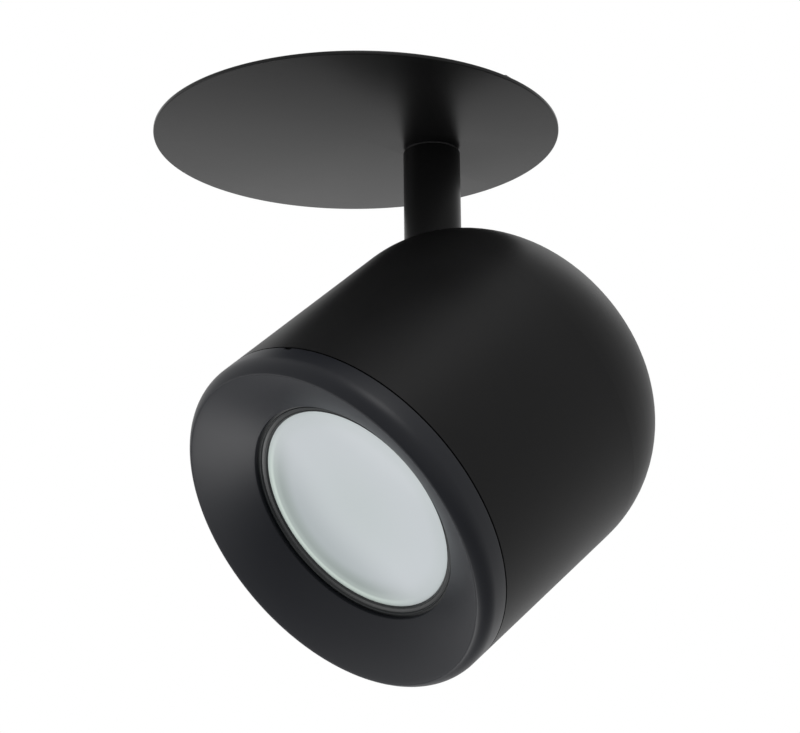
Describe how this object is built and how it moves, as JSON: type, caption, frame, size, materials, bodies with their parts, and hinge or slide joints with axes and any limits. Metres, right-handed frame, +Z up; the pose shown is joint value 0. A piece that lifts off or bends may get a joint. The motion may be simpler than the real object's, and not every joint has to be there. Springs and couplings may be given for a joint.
{
  "type": "soffit downlight",
  "caption": "Recess-fixed ceiling plate with an offset swivelling stem and a tilting domed lamp head, with a bayonet bezel, frosted glass and folding spring clips.",
  "frame": {"origin": "centre of the ceiling face: the top of the plate's gasket, on the axis of the plate and of the ring that enters the cut-out", "axes": "+Z up into the ceiling, along the ring's axis. The plate is round, so X is a reference only: the stem stands at azimuth 25.8 degrees from +X towards +Y, and the spring clips at -18 and 162 degrees"},
  "size_m": [0.1222, 0.1108, 0.152],
  "materials": {
    "black_steel": "satin black powder coat on steel",
    "black_casting": "satin black powder coat on die-cast aluminium",
    "bare_aluminium": "bare, machined",
    "plated_steel": "zinc plated",
    "brass": "turned, bare",
    "black_nylon": "moulded nylon",
    "pale_nylon": "moulded nylon",
    "black_rubber": "moulded",
    "foam_rubber": "die-cut closed-cell sheet",
    "white_board": "white solder mask",
    "yellow_phosphor": "cast phosphor",
    "white_reflector": "matt white",
    "frosted_glass": "frosted on the back"
  },
  "bodies": {
    "canopy": {"canopy_plate": "black_steel", "canopy_gasket": "foam_rubber", "mounting_ring": "plated_steel", "stud_nuts": "plated_steel", "swivel_bush": "black_nylon", "stop_pin": "plated_steel", "terminal_block": "pale_nylon", "terminal_screws": "brass", "block_bolts": "plated_steel", "cord_clamp": "black_nylon", "clamp_screws": "plated_steel", "earth_washer": "brass", "earth_screw": "brass", "clip_bracket_left": "plated_steel", "clip_bracket_right": "plated_steel", "clip_pin_left": "plated_steel", "clip_pin_right": "plated_steel", "clip_rivets_left": "plated_steel", "clip_rivets_right": "plated_steel", "clip_spring_left": "plated_steel", "clip_spring_right": "plated_steel"},
    "clip_left": {"clip_arm_left": "plated_steel", "clip_pad_left": "black_rubber"},
    "clip_right": {"clip_arm_right": "plated_steel", "clip_pad_right": "black_rubber"},
    "stem": {"stem_tube": "black_steel", "thrust_collar": "black_nylon", "threaded_nipple": "plated_steel", "friction_disc": "black_nylon", "tab_washer": "plated_steel", "spring_washer": "plated_steel", "swivel_lock_nut": "plated_steel", "wire_outlet_cap": "black_nylon", "knuckle": "black_casting", "knuckle_cross_pin": "plated_steel", "tilt_friction_discs": "black_nylon"},
    "head": {"head_housing": "black_casting", "pivot_yoke": "plated_steel", "pivot_bolt": "plated_steel", "pivot_nut": "plated_steel", "module_carrier": "bare_aluminium", "led_board": "white_board", "led_chips": "yellow_phosphor", "reflector": "white_reflector", "board_screws": "plated_steel", "carrier_screws": "plated_steel", "yoke_screws": "plated_steel", "cable_gland": "black_nylon", "gland_nut": "black_nylon"},
    "bezel": {"front_bezel": "black_casting", "bezel_seal": "black_rubber", "glass_gasket": "black_rubber", "glass": "frosted_glass", "glass_circlip": "plated_steel"}
  },
  "joints": [
    {"name": "stem_swivel", "type": "hinge", "parent": "canopy", "child": "stem", "pos_m": [0.01873, 0.00905, 0], "axis": [0, 0, 1], "range_deg": [-174, 153]},
    {"name": "head_tilt", "type": "hinge", "parent": "stem", "child": "head", "pos_m": [0.01873, 0.00905, -0.0781], "axis": [-0.5906, 0.807, 0], "range_deg": [-49.6, 0.4]},
    {"name": "bezel_twist", "type": "hinge", "parent": "head", "child": "bezel", "pos_m": [0.01873, 0.00905, -0.0781], "axis": [-0.6145, -0.4498, -0.6481], "range_deg": [0, 20]},
    {"name": "clip_fold_right", "type": "hinge", "parent": "canopy", "child": "clip_right", "pos_m": [0.02549, -0.00828, 0.0074], "axis": [-0.309, -0.9511, 0], "range_deg": [0, 100], "stiffness_Nm_per_rad": 0.02, "springref_deg": -57.3, "deforming": ["clip_spring_right"]},
    {"name": "clip_fold_left", "type": "hinge", "parent": "canopy", "child": "clip_left", "pos_m": [-0.02549, 0.00828, 0.0074], "axis": [0.309, 0.9511, 0], "range_deg": [0, 100], "stiffness_Nm_per_rad": 0.02, "springref_deg": -57.3, "deforming": ["clip_spring_left"]}
  ]
}
